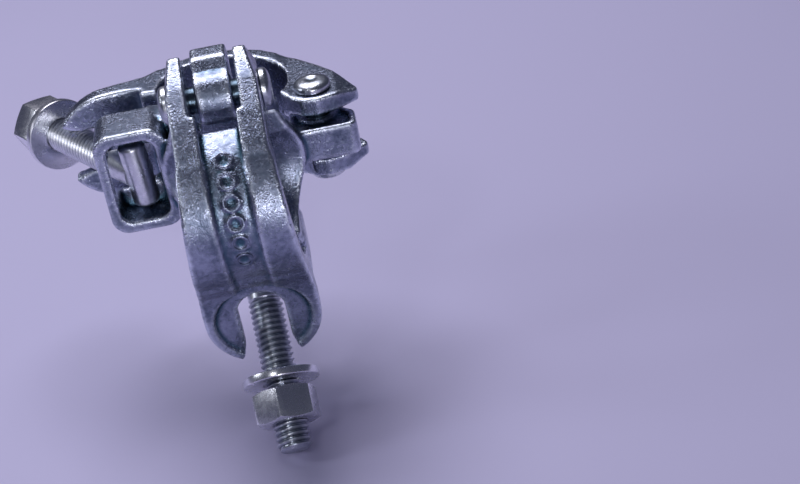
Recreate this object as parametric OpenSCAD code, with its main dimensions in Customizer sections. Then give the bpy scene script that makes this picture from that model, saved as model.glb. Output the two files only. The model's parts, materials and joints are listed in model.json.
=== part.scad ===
// Right angle scaffold coupler: two hinged clamps back to back on one forged body.
// The ledger clamp grips a level tube, the standard clamp grips an upright tube behind it.

/* [Tubes] */
// outside diameter of the scaffold tubes
tube_d = 48.3; // [46:0.1:52]
// room left around a tube inside a closed clamp
tube_play = 0.1; // [0.05:0.05:0.2]
// metal and air between the two crossing tubes
tube_gap = 6.7; // [6:0.1:10]

/* [Body] */
// thickness of the saddle walls
saddle_t = 5.4; // [4:0.2:7]
// width of a saddle along its tube, in its middle
saddle_w = 52; // [46:1:53]
// how much each side of the saddle draws in towards its waists
saddle_wave = 7; // [3:0.5:8]
// width of the hinge knuckle
knuckle_w = 13; // [9:0.5:14]
// reach of the knuckle outside its pin
knuckle_r = 9.5; // [8:0.5:11]
// depth of the recess in each knuckle cheek
cheek_recess = 1.4; // [0.4:0.2:2.4]
// length of the bolt pocket along its tube, outside
pocket_w = 40; // [38:1:44]
// thickness of the bolt pocket above the cross bar, and its reach past the room of the bolt
pocket_t = 6.4; // [4.5:0.1:7]
// thickness of the walls around the pocket
pocket_wall = 4.2; // [3:0.1:5.5]

/* [Flaps] */
// thickness of a flap in its middle groove
flap_t = 5.2; // [4:0.2:7]
// height of the two rails above the groove
rail_h = 1.4; // [0.8:0.1:3]
// width of the groove between the rails
groove_w = 13.6; // [10:0.2:18]
// width of a flap at its hinge end
flap_w = 34; // [32:0.5:38]
// width of a flap at its fork
fork_w = 42; // [39:0.2:44]
// thickness of each hinge ear
ear_t = 7; // [5:0.5:8]
// thickness of the fork prongs
fork_t = 5.6; // [4:0.2:7]
// width of the fork slot
slot_w = 17; // [16:0.2:18]
// number of raised rings in the groove
mark_count = 6; // [0:1:6]

/* [Rivets] */
// shank diameter of a hinge rivet
rivet_d = 9.4; // [8:0.2:11]
// head diameter of a hinge rivet
rivet_head_d = 13.6; // [12:0.2:15]
// head height of a hinge rivet
rivet_head_h = 3.8; // [2.5:0.1:5]
// running clearance of a rivet in its knuckle
rivet_play = 0.08; // [0.02:0.01:0.1]

/* [Bolts] */
// thread diameter of a bolt
bolt_d = 12.7; // [12:0.1:14]
// bolt length from the swing axis to its end
bolt_l = 76.5; // [75:0.5:85]
// diameter of the cross bar at the head of a bolt
bar_d = 10; // [8:0.2:11]
// length of the cross bar
bar_l = 25; // [18:1:30]
// outside diameter of a washer
washer_d = 28; // [24:0.5:28]
// thickness of a washer
washer_t = 3; // [2:0.2:4]
// size of a nut across its flats
nut_af = 21.2; // [19:0.2:24]
// height of a nut
nut_h = 12.5; // [8:0.5:14]
// place of the ledger washer's underside along its bolt
ledger_washer_at = 48.4; // [43:0.2:56]
// place of the standard washer's underside along its bolt
standard_washer_at = 55.8; // [43:0.2:56]
// free length between washer and nut
nut_gap = 2.6; // [0.5:0.1:6]
// swing of the ledger bolt away from the tube
ledger_swing = 44; // [11:1:70]
// swing of the standard bolt away from the tube
standard_swing = 34; // [11:1:70]
// sideways turn of the ledger bolt, which hangs loose in its pocket
ledger_turn = 2; // [-3:1:3]
// sideways turn of the standard bolt
standard_turn = -2; // [-3:1:3]

/* [Hidden] */
$fn = 96;
// a clamp is drawn with its tube along x, its bolt at -y, its pin at +y and its flap on top
bore_r = tube_d / 2 + tube_play;
axis_z = (tube_d + tube_gap) / 2;
pin_y = bore_r + rivet_d / 2 + 4;
pin_z = axis_z / 2;
// free room of the knuckle between the two ears
knuckle_room = 5;
ear_gap = knuckle_w + knuckle_room;
ear_out = ear_gap / 2 + ear_t;
rail_r = bore_r + flap_t + rail_h;
groove_r = bore_r + flap_t;
band_end = 9;
// top of the other tube, which a clamp has to stay clear of
clear_z = -tube_gap / 2 + 0.6;
// swing axis of the bolt, and the room that the bolt needs beside it in the pocket
hollow_y = bolt_d / 2 + 0.55;
pivot_y = -bore_r - 4 - hollow_y;
pivot_z = 5.5;
floor_z = pivot_z + bar_d / 2 + 0.3;
pocket_in = pivot_y + hollow_y;
pocket_out = pivot_y - hollow_y - pocket_t;
pocket_top = floor_z + pocket_t;
pocket_d = pocket_in + 6 - pocket_out;
pocket_mid = pocket_out + pocket_d / 2;
bolt_slot = bolt_d + 3;
// the closed bolt leans out a little and meets the seat of the fork square on
lean = 11;
seat_l = 33.6;
seat_y = pivot_y - seat_l * sin(lean);
seat_z = pivot_z + seat_l * cos(lean);
seat_d = washer_d + 7;
prong = 22;
// middle of the round root of the fork slot, measured from the closed bolt towards the tube
slot_root = 0.3;
mark_first = 17;
mark_step = 14;
mark_d = 6.4;
mark_hole_d = 4.4;
// chamfers of bolt end and rivet head, and the free room of the bolt in washer and nut
bolt_chamfer = 1.2;
head_chamfer = 0.9;
washer_play = 0.9;
nut_play = 0.1;
knuckle_y = pin_y + knuckle_r + 4;
knuckle_z = clear_z + 1.5;
body_color = [0.66, 0.68, 0.74];
flap_color = [0.72, 0.74, 0.79];
bolt_color = [0.60, 0.63, 0.70];
pin_color = [0.78, 0.79, 0.83];

// points of an arc, as polygon corners
function arc(y, z, r, from, to, n = 8) =
    [for (i = [0:n]) [y + r * cos(from + (to - from) * i / n), z + r * sin(from + (to - from) * i / n)]];

// half width of the saddle at a place along y
function wave(y) = saddle_w / 2 - saddle_wave * (1 - cos(7.5 * y)) / 2;

// the ledger tube's axis runs through the origin along x, the standard tube's runs behind it along z
module ledger_side() {
    translate([0, axis_z, 0])
    rotate([90, 0, 0])
    children();
}

module standard_side() {
    translate([0, axis_z, 0])
    rotate([0, -90, -90])
    children();
}

// a shape drawn in the side view of a clamp, given a width along the tube
module across(w) {
    rotate([90, 0, 90])
    linear_extrude(height = w, center = true)
    children();
}

module along_tube(r, w) {
    rotate([0, 90, 0])
    cylinder(r = r, h = w, center = true);
}

module saddle() {
    intersection() {
        translate([0, 0, axis_z])
        along_tube(bore_r + saddle_t, 80);
        union() {
            translate([-40, -40, -10])
            cube([80, 40, 30]);
            translate([-40, -1, -10])
            cube([80, 41, 16]);
        }
        translate([0, 0, -10])
        linear_extrude(height = 60)
        polygon(concat(
            [for (y = [-32:2:32]) [wave(y), y]],
            [for (y = [32:-2:-32]) [-wave(y), y]]
        ));
    }
}

module knuckle_side(inset) {
    polygon(concat(
        arc(pin_y, pin_z, knuckle_r - inset, 150, 0, 16),
        [[knuckle_y - inset, pin_z - 4 - inset],
         [knuckle_y - inset, knuckle_z + 2 + inset],
         [knuckle_y - 2 - inset / 2, knuckle_z + inset],
         [16, knuckle_z + inset],
         [bore_r - 4, 6]]
    ));
}

module knuckle() {
    difference() {
        across(knuckle_w)
        knuckle_side(0);
        for (s = [-1, 1])
            translate([s * knuckle_w / 2, 0, 0])
            intersection() {
                across(2 * cheek_recess)
                knuckle_side(2.2);
                difference() {
                    translate([-20, bore_r - 1, -20])
                    cube([40, 40, 60]);
                    translate([0, pin_y, pin_z])
                    along_tube(rivet_d / 2 + 3, 60);
                }
            }
    }
}

module rounded_plan(w, d, r) {
    translate([-w / 2 + r, -d / 2, 0])
    square([w - 2 * r, d]);
    translate([-w / 2, -d / 2 + r, 0])
    square([w, d - 2 * r]);
    for (i = [-1, 1])
        for (j = [-1, 1])
            translate([i * (w / 2 - r), j * (d / 2 - r), 0])
            circle(r);
}

module pocket() {
    translate([0, pocket_mid, clear_z])
    linear_extrude(height = pocket_top - clear_z)
    rounded_plan(pocket_w, pocket_d, 6);
    translate([0, pocket_in + 3, axis_z - 14.5])
    along_tube(7, pocket_w - 4);
}

module pocket_cut() {
    translate([0, pocket_mid, clear_z - 1])
    linear_extrude(height = floor_z - clear_z + 1)
    rounded_plan(pocket_w - 2 * pocket_wall, pocket_d - 2 * pocket_wall, 4);
    translate([-bolt_slot / 2, pocket_out - 1, floor_z - 10.6])
    cube([bolt_slot, pocket_in - pocket_out + 1, 40]);
}

module clamp_body() {
    saddle();
    knuckle();
    pocket();
}

module clamp_cut() {
    translate([0, 0, axis_z])
    along_tube(bore_r, 140);
    translate([0, pin_y, pin_z])
    along_tube(rivet_d / 2 + rivet_play, 60);
    pocket_cut();
}

module body() {
    color(body_color)
    difference() {
        union() {
            ledger_side()
            clamp_body();
            standard_side()
            clamp_body();
        }
        ledger_side()
        clamp_cut();
        standard_side()
        clamp_cut();
    }
}

// side view of the fork end, its top lowered by d
module fork_side(d) {
    polygon([
        [-6, axis_z + rail_r - 2.5 - d],
        [-12, axis_z + rail_r - 4 - d],
        [-18, axis_z + rail_r - 7 - d],
        [-24.5, seat_z + 9.4 - d],
        [-29, seat_z + 5.6 - d],
        [seat_y + 8, seat_z + 3.4 - d / 2],
        [seat_y, seat_z + 1.6 - d / 2],
        [seat_y - prong + 6, seat_z - 1.8 - d / 2],
        [seat_y - prong + 1, seat_z - 2.8 - d / 2],
        [seat_y - prong - 0.6, seat_z - 4.6],
        [seat_y - prong, seat_z - fork_t - 2.6],
        [seat_y - 8, seat_z - fork_t - 1.8],
        [seat_y + 8, seat_z - fork_t],
        [-bore_r - 2.2, seat_z - fork_t - 1.5],
        [-bore_r - 1.2, axis_z + 1.4],
        [-bore_r + 4, axis_z + 1.4]
    ]);
}

// side view of a hinge ear
module ear_side() {
    polygon(concat(
        arc(0, axis_z, rail_r - 0.8, 75, 42, 8),
        [[pin_y - 7.4, pin_z + 32.2],
         [pin_y - 4, pin_z + 29.2],
         [pin_y + 3, pin_z + 20.4],
         [pin_y + 10, pin_z + 10.4]],
        arc(pin_y + 14, pin_z - 1.6, 2.2, 30, -80, 8),
        [[pin_y + 8, pin_z - 8],
         [pin_y + 1, pin_z - 9.6],
         [pin_y - 5, pin_z - 8.6],
         [pin_y - 9, pin_z - 4.4],
         [bore_r - 4, pin_z + 1]]
    ));
}

module flap_plan() {
    polygon([
        [-ear_out + 2.2, pin_y + 20],
        [-ear_out + 2.2, pin_y + 15],
        [-ear_out, pin_y + 8],
        [-ear_out, pin_y - 7.6],
        [-flap_w / 2, pin_y - 12],
        [-fork_w / 2, seat_y + 3],
        [-fork_w / 2, seat_y - 3],
        [fork_w / 2, seat_y - 3],
        [fork_w / 2, seat_y + 3],
        [flap_w / 2, pin_y - 12],
        [ear_out, pin_y - 7.6],
        [ear_out, pin_y + 8],
        [ear_out - 2.2, pin_y + 15],
        [ear_out - 2.2, pin_y + 20]
    ]);
    translate([0, seat_y - 3, 0])
    circle(fork_w / 2);
}

// side view of the band over the tube, out to radius r
module band_side(r) {
    intersection() {
        translate([0, axis_z])
        circle(r);
        translate([-40, axis_z + 1])
        square([80, 60]);
    }
}

module rails() {
    for (s = [-1, 1])
        translate([s * (groove_w / 2 + 10), 0, 0])
        across(20) {
            band_side(rail_r);
            fork_side(0);
            ear_side();
        }
}

// raised rings standing on the floor of the groove
module marks() {
    for (i = [0:1:mark_count - 1])
        translate([0, 0, axis_z])
        rotate([mark_first - mark_step * i, 0, 0])
        translate([0, 0, groove_r - 0.6])
        difference() {
            cylinder(d = mark_d, h = 1.5, $fn = 32);
            translate([0, 0, -1])
            cylinder(d = mark_hole_d, h = 4, $fn = 32);
        }
}

module clamp_flap() {
    difference() {
        intersection() {
            union() {
                across(60) {
                    band_side(groove_r);
                    fork_side(rail_h);
                }
                rails();
            }
            translate([0, 0, -10])
            linear_extrude(height = 100)
            flap_plan();
        }
        translate([0, 0, axis_z])
        along_tube(bore_r, 100);
        translate([0, pin_y, pin_z])
        along_tube(rivet_d / 2, 60);
        translate([0, 0, axis_z])
        rotate([band_end, 0, 0])
        translate([-ear_gap / 2, bore_r - 4, -60])
        cube([ear_gap, 80, 60]);
        translate([0, seat_y, seat_z])
        rotate([lean, 0, 0]) {
            translate([0, -3.5, 0])
            cylinder(d = seat_d, h = 30);
            linear_extrude(height = 60, center = true)
            slot_plan();
        }
    }
    marks();
}

// the fork slot opens out a little between the rounded tips of the prongs
module slot_plan() {
    translate([0, slot_root])
    circle(d = slot_w);
    polygon([
        [-slot_w / 2, slot_root],
        [-slot_w / 2, 7 - prong],
        [-slot_w / 2 - 1, 3 - prong],
        [-slot_w / 2 - 4, -prong - 2],
        [slot_w / 2 + 4, -prong - 2],
        [slot_w / 2 + 1, 3 - prong],
        [slot_w / 2, 7 - prong],
        [slot_w / 2, slot_root]
    ]);
}

module clamp_rivet() {
    translate([0, pin_y, pin_z]) {
        along_tube(rivet_d / 2, 2 * ear_out + 1);
        for (s = [-1, 1])
            rotate([0, 90 * s, 0])
            difference() {
                translate([0, 0, ear_out])
                union() {
                    cylinder(d = rivet_head_d, h = rivet_head_h - head_chamfer);
                    translate([0, 0, rivet_head_h - head_chamfer])
                    cylinder(d1 = rivet_head_d, d2 = rivet_head_d - 2 * head_chamfer, h = head_chamfer);
                }
                translate([0, 0, ear_out + rivet_head_h - 0.7])
                cylinder(d1 = 3, d2 = 6.4, h = 0.71);
            }
    }
}

module at_bolt(swing, turn, along) {
    translate([0, pivot_y, pivot_z])
    rotate([0, 0, turn])
    rotate([swing, 0, 0])
    translate([0, 0, along])
    children();
}

module clamp_t_bolt(swing, turn) {
    at_bolt(swing, turn, 0)
    union() {
        rotate([0, 90, 0]) {
            cylinder(d = bar_d, h = bar_l - 3, center = true);
            cylinder(d = bar_d - 3, h = bar_l, center = true);
        }
        cylinder(d = bolt_d, h = bolt_l - bolt_chamfer);
        translate([0, 0, bolt_l - bolt_chamfer])
        cylinder(d1 = bolt_d, d2 = bolt_d - 2 * bolt_chamfer, h = bolt_chamfer);
    }
}

module clamp_washer(swing, turn, along) {
    at_bolt(swing, turn, along)
    difference() {
        cylinder(d = washer_d, h = washer_t);
        translate([0, 0, -1])
        cylinder(d = bolt_d + washer_play, h = washer_t + 2);
    }
}

module clamp_nut(swing, turn, along) {
    corner = nut_af / cos(30);
    at_bolt(swing, turn, along + washer_t + nut_gap)
    rotate([0, 0, 8])
    difference() {
        intersection() {
            cylinder(d = corner, h = nut_h, $fn = 6);
            cylinder(d1 = nut_af - 1 + 4 * nut_h, d2 = nut_af - 1, h = nut_h);
            cylinder(d1 = nut_af - 1, d2 = nut_af - 1 + 4 * nut_h, h = nut_h);
        }
        translate([0, 0, -1])
        cylinder(d = bolt_d + nut_play, h = nut_h + 2);
    }
}

module ledger_flap() {
    color(flap_color)
    ledger_side()
    clamp_flap();
}

module ledger_rivet() {
    color(pin_color)
    ledger_side()
    clamp_rivet();
}

module ledger_t_bolt() {
    color(bolt_color)
    ledger_side()
    clamp_t_bolt(ledger_swing, ledger_turn);
}

module ledger_washer() {
    color(pin_color)
    ledger_side()
    clamp_washer(ledger_swing, ledger_turn, ledger_washer_at);
}

module ledger_nut() {
    color(pin_color)
    ledger_side()
    clamp_nut(ledger_swing, ledger_turn, ledger_washer_at);
}

module standard_flap() {
    color(flap_color)
    standard_side()
    clamp_flap();
}

module standard_rivet() {
    color(pin_color)
    standard_side()
    clamp_rivet();
}

module standard_t_bolt() {
    color(bolt_color)
    standard_side()
    clamp_t_bolt(standard_swing, standard_turn);
}

module standard_washer() {
    color(pin_color)
    standard_side()
    clamp_washer(standard_swing, standard_turn, standard_washer_at);
}

module standard_nut() {
    color(pin_color)
    standard_side()
    clamp_nut(standard_swing, standard_turn, standard_washer_at);
}

body();
ledger_flap();
ledger_rivet();
ledger_t_bolt();
ledger_washer();
ledger_nut();
standard_flap();
standard_rivet();
standard_t_bolt();
standard_washer();
standard_nut();
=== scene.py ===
import json
import math
import bmesh
import bpy
from mathutils import Matrix, Vector


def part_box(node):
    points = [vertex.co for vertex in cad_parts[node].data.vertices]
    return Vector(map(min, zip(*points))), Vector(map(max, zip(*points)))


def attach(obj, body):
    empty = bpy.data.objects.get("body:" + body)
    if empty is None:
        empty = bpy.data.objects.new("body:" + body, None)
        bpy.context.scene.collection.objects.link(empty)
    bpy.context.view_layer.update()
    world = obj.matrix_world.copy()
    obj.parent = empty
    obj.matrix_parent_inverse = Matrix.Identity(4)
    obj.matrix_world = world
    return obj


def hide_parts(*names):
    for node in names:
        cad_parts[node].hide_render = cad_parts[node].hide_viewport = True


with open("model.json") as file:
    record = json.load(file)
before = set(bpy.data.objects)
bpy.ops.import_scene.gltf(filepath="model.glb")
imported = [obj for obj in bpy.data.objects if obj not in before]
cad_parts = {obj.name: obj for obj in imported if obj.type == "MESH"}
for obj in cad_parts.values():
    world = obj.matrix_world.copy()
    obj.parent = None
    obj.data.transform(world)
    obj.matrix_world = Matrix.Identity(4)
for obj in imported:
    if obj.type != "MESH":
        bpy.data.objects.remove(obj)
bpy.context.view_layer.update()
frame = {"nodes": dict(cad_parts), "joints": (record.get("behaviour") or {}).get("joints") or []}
mm = 0.001
weld = 0.002 * mm  # points nearer than this are one
sides = ["ledger", "standard"]
joints = {joint["name"]: joint for joint in frame["joints"]}
scene = bpy.context.scene

# camera
view = {
    "place": (0.0434, -0.5306, 0.2847),
    "forward": (0.0272, 0.8578, -0.5132),
    "right": (0.9803, -0.1234, -0.1543),
    "lens": 77.3,
    "shift": -0.025,  # keeps the end of the standard bolt in the picture
}


def makeCamera():
    back = -Vector(view["forward"]).normalized()
    up = back.cross(Vector(view["right"])).normalized()
    right = up.cross(back)
    turned = Matrix((right, up, back)).transposed().to_4x4()
    data = bpy.data.cameras.new("camera")
    data.lens = view["lens"]
    data.sensor_width = 36.0
    data.shift_x = view["shift"]
    data.clip_start = 0.01
    camera = bpy.data.objects.new("camera", data)
    camera.matrix_world = Matrix.Translation(view["place"]) @ turned
    scene.collection.objects.link(camera)
    scene.camera = camera


makeCamera()
print("camera placed")


# materials
def addNode(tree, kind, **settings):
    node = tree.nodes.new(kind)
    for name, value in settings.items():
        setattr(node, name, value)
    return node


def addNoise(tree, vector, scale, detail, roughness):
    noise = addNode(tree, "ShaderNodeTexNoise")
    noise.inputs["Scale"].default_value = scale
    noise.inputs["Detail"].default_value = detail
    noise.inputs["Roughness"].default_value = roughness
    tree.links.new(vector, noise.inputs["Vector"])
    return noise.outputs["Fac"]


def addMath(tree, operation, first, second, clamp=False):
    node = addNode(tree, "ShaderNodeMath", operation=operation, use_clamp=clamp)
    for socket, value in zip(node.inputs, (first, second)):
        if isinstance(value, (int, float)):
            socket.default_value = value
        else:
            tree.links.new(value, socket)
    return node.outputs[0]


def addMix(tree, factor, first, second):
    node = addNode(tree, "ShaderNodeMix", data_type="RGBA")
    tree.links.new(factor, node.inputs["Factor"])
    for socket, value in ((node.inputs[6], first), (node.inputs[7], second)):
        if isinstance(value, tuple):
            socket.default_value = (*value, 1.0)
        else:
            tree.links.new(value, socket)
    return node.outputs[2]


def addRange(tree, value, low, high, toLow, toHigh):
    node = addNode(tree, "ShaderNodeMapRange")
    tree.links.new(value, node.inputs["Value"])
    for name, number in (("From Min", low), ("From Max", high), ("To Min", toLow), ("To Max", toHigh)):
        node.inputs[name].default_value = number
    return node.outputs["Result"]


coat = {"clouds": 70.0, "grain": 520.0, "pitting": 620.0}  # sizes of its patterns, per metre


# uneven zinc coat: broad clouds, fine orange peel and small pits
def makeZincCoat():
    group = bpy.data.node_groups.new("zincCoat", "ShaderNodeTree")
    group.interface.new_socket("Vector", in_out="INPUT", socket_type="NodeSocketVector")
    group.interface.new_socket("Peel Scale", in_out="INPUT", socket_type="NodeSocketFloat")
    group.interface.new_socket("Pits", in_out="INPUT", socket_type="NodeSocketFloat")
    group.interface.new_socket("Tone", in_out="OUTPUT", socket_type="NodeSocketFloat")
    group.interface.new_socket("Height", in_out="OUTPUT", socket_type="NodeSocketFloat")
    source = addNode(group, "NodeGroupInput")
    result = addNode(group, "NodeGroupOutput")
    vector = source.outputs["Vector"]
    broad = addNoise(group, vector, coat["clouds"], 3.0, 0.55)
    fine = addNoise(group, vector, coat["grain"], 4.0, 0.6)
    peel = addNode(group, "ShaderNodeTexNoise")
    peel.inputs["Detail"].default_value = 2.5
    group.links.new(vector, peel.inputs["Vector"])
    group.links.new(source.outputs["Peel Scale"], peel.inputs["Scale"])
    cells = addNode(group, "ShaderNodeTexVoronoi", feature="SMOOTH_F1")
    cells.inputs["Scale"].default_value = coat["pitting"]
    group.links.new(vector, cells.inputs["Vector"])
    pit = addRange(group, cells.outputs["Distance"], 0.0, 0.3, -1.0, 0.0)
    pitDepth = addMath(group, "MULTIPLY", pit, source.outputs["Pits"])
    height = addMath(group, "ADD", peel.outputs["Fac"], pitDepth)
    group.links.new(height, result.inputs["Height"])
    half = addMath(group, "MULTIPLY", fine, 0.45)
    rest = addMath(group, "MULTIPLY", broad, 0.55)
    group.links.new(addMath(group, "ADD", half, rest), result.inputs["Tone"])
    return group


# bright rubbed edges, and painted shade that darkens the hollows, read from the piece's own "relief"
# attribute
def makeEdgeWearAndHollowShade():
    group = bpy.data.node_groups.new("edgeWearAndHollowShade", "ShaderNodeTree")
    group.interface.new_socket("Relief", in_out="INPUT", socket_type="NodeSocketFloat")
    group.interface.new_socket("Tone", in_out="INPUT", socket_type="NodeSocketFloat")
    group.interface.new_socket("Edge", in_out="OUTPUT", socket_type="NodeSocketFloat")
    group.interface.new_socket("PaintedShade", in_out="OUTPUT", socket_type="NodeSocketFloat")
    source = addNode(group, "NodeGroupInput")
    result = addNode(group, "NodeGroupOutput")
    edge = addRange(group, source.outputs["Relief"], 0.56, 0.85, 0.0, 1.0)
    broken = addRange(group, source.outputs["Tone"], 0.35, 0.6, 0.25, 1.0)
    group.links.new(addMath(group, "MULTIPLY", edge, broken, True), result.inputs["Edge"])
    # painted shade: places whose relief falls below flat metal fade towards the dark hollow colour
    hollowShade = addRange(group, source.outputs["Relief"], 0.46, 0.2, 0.0, 1.0)
    group.links.new(hollowShade, result.inputs["PaintedShade"])
    return group


zincCoat = makeZincCoat()
edgeWearAndHollowShade = makeEdgeWearAndHollowShade()

# each finish's darkest colour is painted shade laid into the hollows; the edge colour is rubbed wear
finishes = {
    "forging": {
        "dark": (0.13, 0.16, 0.23), "light": (0.38, 0.42, 0.54), "edge": (0.72, 0.77, 0.88),
        "hollowShade": (0.06, 0.12, 0.17), "peel": 2000.0, "pits": 0.6, "bump": 0.9, "depth": 0.00019,
        "smooth": 0.20, "rough": 0.34,
    },
    "rivet": {
        "dark": (0.34, 0.38, 0.44), "light": (0.66, 0.69, 0.75), "edge": (0.84, 0.86, 0.90),
        "hollowShade": (0.09, 0.13, 0.17), "peel": 1100.0, "pits": 0.35, "bump": 0.4, "depth": 0.0002,
        "smooth": 0.22, "rough": 0.36,
    },
    "bolt": {
        "dark": (0.30, 0.33, 0.40), "light": (0.58, 0.61, 0.68), "edge": (0.82, 0.84, 0.89),
        "hollowShade": (0.06, 0.09, 0.12), "peel": 1500.0, "pits": 0.1, "bump": 0.2, "depth": 0.0001,
        "smooth": 0.26, "rough": 0.38,
    },
    "plated": {
        "dark": (0.66, 0.67, 0.73), "light": (0.88, 0.88, 0.94), "edge": (0.94, 0.95, 0.98),
        "hollowShade": (0.16, 0.20, 0.25), "peel": 1300.0, "pits": 0.08, "bump": 0.18, "depth": 0.0001,
        "smooth": 0.20, "rough": 0.33,
    },
}


def makeFinish(name):
    finish = finishes[name]
    material = bpy.data.materials.new(name)
    material.use_nodes = True
    tree = material.node_tree
    shader = tree.nodes["Principled BSDF"]
    shader.inputs["Metallic"].default_value = 1.0
    place = addNode(tree, "ShaderNodeTexCoord").outputs["Object"]
    zinc = addNode(tree, "ShaderNodeGroup", node_tree=zincCoat)
    zinc.inputs["Peel Scale"].default_value = finish["peel"]
    zinc.inputs["Pits"].default_value = finish["pits"]
    tree.links.new(place, zinc.inputs["Vector"])
    relief = addNode(tree, "ShaderNodeAttribute", attribute_name="relief").outputs["Fac"]
    wearAndShade = addNode(tree, "ShaderNodeGroup", node_tree=edgeWearAndHollowShade)
    tree.links.new(relief, wearAndShade.inputs["Relief"])
    tree.links.new(zinc.outputs["Tone"], wearAndShade.inputs["Tone"])
    tone = addRange(tree, zinc.outputs["Tone"], 0.38, 0.62, 0.0, 1.0)
    color = addMix(tree, tone, finish["dark"], finish["light"])
    color = addMix(tree, wearAndShade.outputs["Edge"], color, finish["edge"])
    # painted shade: the hollows take the dark hollow colour
    color = addMix(tree, wearAndShade.outputs["PaintedShade"], color, finish["hollowShade"])
    tree.links.new(color, shader.inputs["Base Color"])
    roughness = addRange(tree, zinc.outputs["Tone"], 0.38, 0.62, finish["rough"], finish["smooth"])
    tree.links.new(roughness, shader.inputs["Roughness"])
    bump = addNode(tree, "ShaderNodeBump")
    bump.inputs["Strength"].default_value = finish["bump"]
    bump.inputs["Distance"].default_value = finish["depth"]
    tree.links.new(zinc.outputs["Height"], bump.inputs["Height"])
    tree.links.new(bump.outputs["Normal"], shader.inputs["Normal"])
    return material


materials = {name: makeFinish(name) for name in finishes}
print("materials made")


# shared modelling steps
# how far each point stands out of its surroundings, 0.5 on flat metal
def addRelief(mesh, reach, gain):
    bm = bmesh.new()
    bm.from_mesh(mesh)
    bm.normal_update()
    bm.verts.ensure_lookup_table()
    height = []
    for vert in bm.verts:
        around = [edge.other_vert(vert) for edge in vert.link_edges]
        middle = sum((other.co for other in around), Vector()) / max(len(around), 1)
        height.append((vert.co - middle).dot(vert.normal))
    near = [[edge.other_vert(vert).index for edge in vert.link_edges] for vert in bm.verts]
    bm.free()
    for step in range(reach):
        height = [(h + sum(height[i] for i in n)) / (1 + len(n)) for h, n in zip(height, near)]
    attribute = mesh.attributes.new("relief", "FLOAT", "POINT")
    attribute.data.foreach_set("value", [min(1.0, max(0.0, 0.5 + h * gain)) for h in height])


def finishPiece(bm, name, body, nodes, finish, smoothAngle=0.6):
    bmesh.ops.remove_doubles(bm, verts=bm.verts, dist=weld)
    bmesh.ops.recalc_face_normals(bm, faces=bm.faces)
    mesh = bpy.data.meshes.new(name)
    bm.to_mesh(mesh)
    bm.free()
    mesh.materials.append(materials[finish])
    piece = bpy.data.objects.new(name, mesh)
    scene.collection.objects.link(piece)
    mesh.shade_smooth()
    mesh.set_sharp_from_angle(angle=smoothAngle)
    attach(piece, body)
    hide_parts(*nodes)
    return piece


# the mesh of an object with its modifiers worked in
def bakeModifiers(piece):
    graph = bpy.context.evaluated_depsgraph_get()
    mesh = bpy.data.meshes.new_from_object(piece.evaluated_get(graph))
    piece.modifiers.clear()
    piece.data = mesh
    return piece


# lowest and highest place of a CAD node along a direction
def spanAlong(node, start, direction):
    reach = [(vert.co - start).dot(direction) for vert in frame["nodes"][node].data.vertices]
    return min(reach), max(reach)


# frame with its z along the given axis and its x near another
def axisFrame(start, along, sideways):
    z = along.normalized()
    y = z.cross(sideways).normalized()
    x = y.cross(z)
    return Matrix.Translation(start) @ Matrix((x, y, z)).transposed().to_4x4()


# turns an outline of (radius, height) points round the z axis
def lathe(bm, outline, steps):
    verts = [bm.verts.new((radius, 0.0, height)) for radius, height in outline]
    edges = [bm.edges.new(pair) for pair in zip(verts, verts[1:])]
    bmesh.ops.spin(bm, geom=verts + edges, cent=(0, 0, 0), axis=(0, 0, 1),
                   angle=math.tau, steps=steps, use_merge=True)
    bmesh.ops.remove_doubles(bm, verts=bm.verts, dist=weld)
    return bm


# adds a finished part to the mesh that is being made
def joinPart(bm, part):
    mesh = bpy.data.meshes.new("part")
    part.to_mesh(mesh)
    part.free()
    bm.from_mesh(mesh)
    bpy.data.meshes.remove(mesh)


# a quarter round from the side of a turned shape to its end
def roundedCorner(radius, height, size, outward, upward, steps=4):
    points = []
    for step in range(steps + 1):
        turn = math.pi / 2 * step / steps
        points.append((radius - outward * size * (1 - math.cos(turn)),
                       height - upward * size * (1 - math.sin(turn))))
    return points


# forged body and flaps
forging = {
    "bodyVoxel": 0.00062,
    "flapVoxel": 0.00054,
    "rounding": 16,  # passes of smoothing, which round every edge as a forging die does
    "reliefReach": 3,
    "reliefGain": 12000.0,
}


def makeForging(node, body, voxel):
    bm = bmesh.new()
    bm.from_mesh(frame["nodes"][node].data)
    bmesh.ops.remove_doubles(bm, verts=bm.verts, dist=weld)
    mesh = bpy.data.meshes.new(node + "Forging")
    bm.to_mesh(mesh)
    bm.free()
    piece = bpy.data.objects.new(node + "Forging", mesh)
    scene.collection.objects.link(piece)
    remesh = piece.modifiers.new("skin", "REMESH")
    remesh.mode = "VOXEL"
    remesh.voxel_size = voxel
    remesh.use_smooth_shade = True
    soften = piece.modifiers.new("soften", "SMOOTH")
    soften.factor = 0.5
    soften.iterations = forging["rounding"]
    bakeModifiers(piece)
    addRelief(piece.data, forging["reliefReach"], forging["reliefGain"])
    piece.data.materials.clear()
    piece.data.materials.append(materials["forging"])
    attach(piece, body)
    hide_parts(node)
    print(piece.name, len(piece.data.polygons), "faces")


makeForging("body", "body", forging["bodyVoxel"])
for side in sides:
    makeForging(side + "_flap", side + "_flap", forging["flapVoxel"])
print("forgings made")

# raised rings standing in the groove of each flap
marks = {
    "count": 6, "first": 17.0, "step": 14.0,  # degrees round the tube
    "tubeAxis": 27.5 * mm, "groove": 29.45 * mm,
    "outer": 3.2 * mm, "inner": 2.2 * mm, "sunk": 0.4 * mm, "proud": 1.05 * mm, "rounding": 0.3 * mm,
}
sideFrames = {
    "ledger": Matrix(((1, 0, 0, 0), (0, 0, -1, marks["tubeAxis"]), (0, 1, 0, 0), (0, 0, 0, 1))),
    "standard": Matrix(((0, 1, 0, 0), (0, 0, 1, marks["tubeAxis"]), (1, 0, 0, 0), (0, 0, 0, 1))),
}


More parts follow.
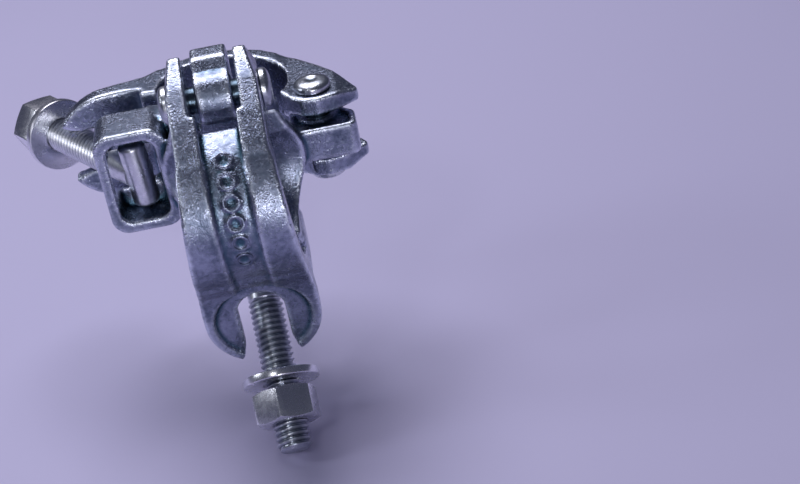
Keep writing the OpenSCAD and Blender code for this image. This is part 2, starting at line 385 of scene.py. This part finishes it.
def makeMarks(side):
    top, foot = marks["proud"], -marks["sunk"]
    outer = roundedCorner(marks["outer"], top, marks["rounding"], 1, 1, 3)
    inner = roundedCorner(marks["inner"], top, marks["rounding"], -1, 1, 3)[::-1]
    outline = [(marks["outer"], foot)] + outer + inner + [(marks["inner"], foot), (marks["outer"], foot)]
    bm = bmesh.new()
    for index in range(marks["count"]):
        ring = lathe(bmesh.new(), outline, 40)
        turn = math.radians(marks["first"] - marks["step"] * index)
        ring.transform(sideFrames[side] @ Matrix.Translation((0, 0, marks["tubeAxis"]))
                       @ Matrix.Rotation(turn, 4, "X") @ Matrix.Translation((0, 0, marks["groove"])))
        joinPart(bm, ring)
    piece = finishPiece(bm, side + "Marks", side + "_flap", [], "forging")
    addRelief(piece.data, 0, 2500.0)


for side in sides:
    makeMarks(side)
print("marks made")

# hinge rivets
rivet = {
    "shank": 4.7 * mm, "head": 6.8 * mm, "headHeight": 3.8 * mm, "dimple": 2.4 * mm,
    "dimpleDepth": 0.7 * mm, "domeSteps": 8, "domeShare": 0.55,
}


def makeRivet(side):
    hinge = joints[side + "_flap_hinge"]
    start = Vector(hinge["pos_m"])
    axis = Vector(hinge["axis"])
    node = side + "_rivet"
    low, high = spanAlong(node, start, axis)
    outline = []
    for end, way in ((low, -1), (high, 1)):
        seat = end - way * rivet["headHeight"]
        dome = []
        for step in range(rivet["domeSteps"] + 1):
            turn = math.pi / 2 * step / rivet["domeSteps"]
            radius = rivet["dimple"] + (rivet["head"] - rivet["dimple"]) * math.sin(turn)
            sunk = rivet["headHeight"] * rivet["domeShare"] * (1 - math.cos(turn))
            dome.append((radius, end - way * sunk))
        middle = [(0.0, end - way * rivet["dimpleDepth"]),
                  (rivet["dimple"] * 0.55, end - way * rivet["dimpleDepth"] * 0.8)]
        foot = [(rivet["head"], seat + way * 0.5 * mm), (rivet["head"] - 0.4 * mm, seat),
                (rivet["shank"], seat)]
        part = middle + dome + foot
        outline += part if way < 0 else part[::-1]
    bm = lathe(bmesh.new(), outline, 64)
    bm.transform(axisFrame(start, axis, Vector((0.3, 0.8, 0.5))))
    piece = finishPiece(bm, side + "Rivet", side + "_flap", [node], "rivet")
    addRelief(piece.data, 1, 2500.0)


for side in sides:
    makeRivet(side)
print("rivets made")

# bolts, washers and nuts
bolt = {
    "crest": 6.35 * mm, "root": 5.35 * mm, "shank": 6.1 * mm, "pitch": 25.4 / 12 * mm, "turnSteps": 40,
    "threadFrom": 19.0 * mm, "shankRound": 0.6 * mm, "bar": 5.0 * mm, "barHalf": 12.5 * mm,
    "barRound": 1.8 * mm,
}
washer = {"rounding": 0.45 * mm, "bore": 6.8 * mm, "radius": 14.0 * mm}
nut = {
    "flat": 10.6 * mm, "bore": 6.0 * mm, "edge": 0.22 * mm, "turn": math.radians(8),
    "rimInset": 0.6 * mm, "cornerRoom": 1.0 * mm, "boreLead": 0.7 * mm, "boreFlare": 1.4 * mm,
}


# one pitch of the thread, wound up the bolt, then trimmed square and chamfered
def addThread(bm, start, end):
    made = bmesh.new()
    pitch = bolt["pitch"]
    turns = math.ceil((end - start) / pitch) + 2
    tooth = [(bolt["root"], 0.0), (bolt["root"], 0.12), (bolt["crest"], 0.46), (bolt["crest"], 0.58),
             (bolt["root"], 0.92), (bolt["root"], 1.0)]
    verts = [made.verts.new((radius, 0.0, start - pitch + share * pitch)) for radius, share in tooth]
    edges = [made.edges.new(pair) for pair in zip(verts, verts[1:])]
    steps = turns * bolt["turnSteps"]
    bmesh.ops.spin(made, geom=verts + edges, cent=(0, 0, 0), axis=(0, 0, 1), angle=math.tau * turns,
                   steps=steps, dvec=(0, 0, pitch / bolt["turnSteps"]))
    bmesh.ops.remove_doubles(made, verts=made.verts, dist=0.000005)
    for height, way in ((start, -1), (end, 1)):
        cut = bmesh.ops.bisect_plane(made, geom=made.verts[:] + made.edges[:] + made.faces[:],
                                     plane_co=(0, 0, height), plane_no=(0, 0, way), clear_outer=True)
        rim = [item for item in cut["geom_cut"] if isinstance(item, bmesh.types.BMEdge)]
        bmesh.ops.edgeloop_fill(made, edges=rim)
    for vert in made.verts:
        radius = math.hypot(vert.co.x, vert.co.y)
        lead = bolt["root"] - 0.3 * mm + min(end - vert.co.z, (vert.co.z - start) * 0.5 + 0.3 * mm)
        if 0 < lead < radius:
            vert.co.x *= lead / radius
            vert.co.y *= lead / radius
    joinPart(bm, made)


def makeBolt(side, place, node):
    start, along = place.translation, place.col[2].xyz
    end = spanAlong(node, start, along)[1]
    bm = bmesh.new()
    shankEnd = bolt["threadFrom"] + 1.0 * mm
    lathe(bm, [(0.0, 0.0), (bolt["shank"], 0.0), (bolt["shank"], shankEnd - bolt["shankRound"]),
               (bolt["shank"] - bolt["shankRound"], shankEnd), (0.0, shankEnd)], 64)
    addThread(bm, bolt["threadFrom"], end)
    bar = bmesh.new()
    half = bolt["barHalf"]
    left = roundedCorner(bolt["bar"], -half, bolt["barRound"], 1, -1)[::-1]
    right = roundedCorner(bolt["bar"], half, bolt["barRound"], 1, 1)
    lathe(bar, [(0.0, -half)] + left + right + [(0.0, half)], 48)
    bar.transform(Matrix.Rotation(math.pi / 2, 4, "Y"))
    joinPart(bm, bar)
    bm.transform(place)
    piece = finishPiece(bm, side + "TBolt", side + "_bolt", [node], "bolt", 0.75)
    addRelief(piece.data, 0, 2200.0)


def makeWasher(side, place, node):
    low, high = spanAlong(node, place.translation, place.col[2].xyz)
    size = washer["rounding"]
    outer = roundedCorner(washer["radius"], high, size, 1, 1)
    lower = roundedCorner(washer["radius"], low, size, 1, -1)
    outline = [(washer["bore"], low + size)] + [(washer["bore"] + size * 0.5, low)] + lower[::-1] + outer
    outline += [(washer["bore"] + size * 0.5, high), (washer["bore"], high - size),
                (washer["bore"], low + size)]
    bm = lathe(bmesh.new(), outline, 96)
    bm.transform(place)
    piece = finishPiece(bm, side + "Washer", side + "_washer", [node], "plated")
    addRelief(piece.data, 1, 2500.0)


# six sided bar trimmed by a barrel, so that its corners are cut in arcs, then bored
def makeNut(side, place, node):
    low, high = spanAlong(node, place.translation, place.col[2].xyz)
    flat = nut["flat"]
    flare = nut["bore"] + nut["boreFlare"]
    lead = nut["boreLead"]
    prism = bmesh.new()
    bmesh.ops.create_cone(prism, cap_ends=True, segments=6, radius1=flat / math.cos(math.pi / 6),
                          radius2=flat / math.cos(math.pi / 6), depth=high - low)
    prism.transform(Matrix.Translation((0, 0, (low + high) / 2)))
    corner = flat / math.cos(math.pi / 6) + nut["cornerRoom"]
    rim = flat - nut["rimInset"]
    drop = (corner - rim) * 0.5
    barrel = lathe(bmesh.new(), [(0.0, low), (rim, low), (corner, low + drop), (corner, high - drop),
                                 (rim, high), (0.0, high)], 96)
    bore = lathe(bmesh.new(), [(0.0, low - mm), (flare, low - mm), (nut["bore"], low + lead),
                               (nut["bore"], high - lead), (flare, high + mm), (0.0, high + mm)], 64)
    made = []
    for shape in (prism, barrel, bore):
        bmesh.ops.recalc_face_normals(shape, faces=shape.faces)
        mesh = bpy.data.meshes.new("nutShape")
        shape.to_mesh(mesh)
        shape.free()
        made.append(bpy.data.objects.new("nutShape", mesh))
        scene.collection.objects.link(made[-1])
    for cutter, operation in ((made[1], "INTERSECT"), (made[2], "DIFFERENCE")):
        step = made[0].modifiers.new(operation.lower(), "BOOLEAN")
        step.operation = operation
        step.object = cutter
        step.solver = "EXACT"
    bevel = made[0].modifiers.new("edge", "BEVEL")
    bevel.width = nut["edge"]
    bevel.segments = 2
    bevel.limit_method = "ANGLE"
    bevel.angle_limit = math.radians(22)
    bakeModifiers(made[0])
    bm = bmesh.new()
    bm.from_mesh(made[0].data)
    for shape in made:
        bpy.data.objects.remove(shape)
    bm.transform(place @ Matrix.Rotation(nut["turn"], 4, "Z"))
    piece = finishPiece(bm, side + "Nut", side + "_nut", [node], "plated", 0.5)
    addRelief(piece.data, 1, 2500.0)


for side in sides:
    swing = joints[side + "_bolt_swing"]
    travel = joints[side + "_nut_travel"]
    boltPlace = axisFrame(Vector(swing["pos_m"]), Vector(travel["axis"]), Vector(swing["axis"]))
    makeBolt(side, boltPlace, side + "_t_bolt")
    makeWasher(side, boltPlace, side + "_washer")
    makeNut(side, boltPlace, side + "_nut")
print("bolts, washers and nuts made")

# floor and light
studio = {
    "floor": (0.55, 0.52, 0.76), "floorDrop": 0.0004, "floorSize": 1.6,
    "sky": (0.10, 0.11, 0.17), "skyStrength": 0.5,
}
lamps = [
    {"name": "overhead", "place": (-0.10, 0.50, 1.00), "size": 0.8, "power": 9.6,
     "tint": (0.95, 0.93, 1.0)},
    {"name": "front", "place": (0.05, -1.20, 0.22), "size": 0.22, "power": 3.4, "tint": (0.96, 0.95, 1.0)},
    {"name": "upperFront", "place": (-0.35, -0.75, 0.85), "size": 0.20, "power": 0.9,
     "tint": (0.94, 0.95, 1.0)},
    {"name": "left", "place": (-0.90, 0.05, 0.50), "size": 0.30, "power": 1.6, "tint": (0.90, 0.93, 1.0)},
]


def makeFloor():
    bm = bmesh.new()
    bmesh.ops.create_circle(bm, cap_ends=True, segments=96, radius=studio["floorSize"])
    mesh = bpy.data.meshes.new("floor")
    bm.to_mesh(mesh)
    bm.free()
    lowest = min(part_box(node)[0].z for node in frame["nodes"])
    mesh.transform(Matrix.Translation((0, 0, lowest - studio["floorDrop"])))
    floor = bpy.data.objects.new("floor", mesh)
    scene.collection.objects.link(floor)
    material = bpy.data.materials.new("floor")
    material.use_nodes = True
    tree = material.node_tree
    shader = tree.nodes["Principled BSDF"]
    shader.inputs["Roughness"].default_value = 0.65
    place = addNode(tree, "ShaderNodeTexCoord").outputs["Object"]
    cloud = addNoise(tree, place, 3.0, 2.0, 0.5)
    base = studio["floor"]
    tree.links.new(addMix(tree, cloud, tuple(0.93 * c for c in base), base), shader.inputs["Base Color"])
    mesh.materials.append(material)


def makeLamps():
    for lamp in lamps:
        data = bpy.data.lights.new(lamp["name"], "AREA")
        data.shape = "DISK"
        data.size = lamp["size"]
        data.energy = lamp["power"]
        data.color = lamp["tint"]
        light = bpy.data.objects.new(lamp["name"], data)
        light.matrix_world = (Matrix.Translation(lamp["place"])
                              @ (-Vector(lamp["place"])).to_track_quat("-Z", "Y").to_matrix().to_4x4())
        scene.collection.objects.link(light)
    world = bpy.data.worlds.new("studio")
    world.use_nodes = True
    sky = world.node_tree.nodes["Background"]
    sky.inputs["Color"].default_value = (*studio["sky"], 1.0)
    sky.inputs["Strength"].default_value = studio["skyStrength"]
    scene.world = world


makeFloor()
makeLamps()
scene.view_settings.view_transform = "Standard"
print("stage made")

bpy.context.view_layer.update()
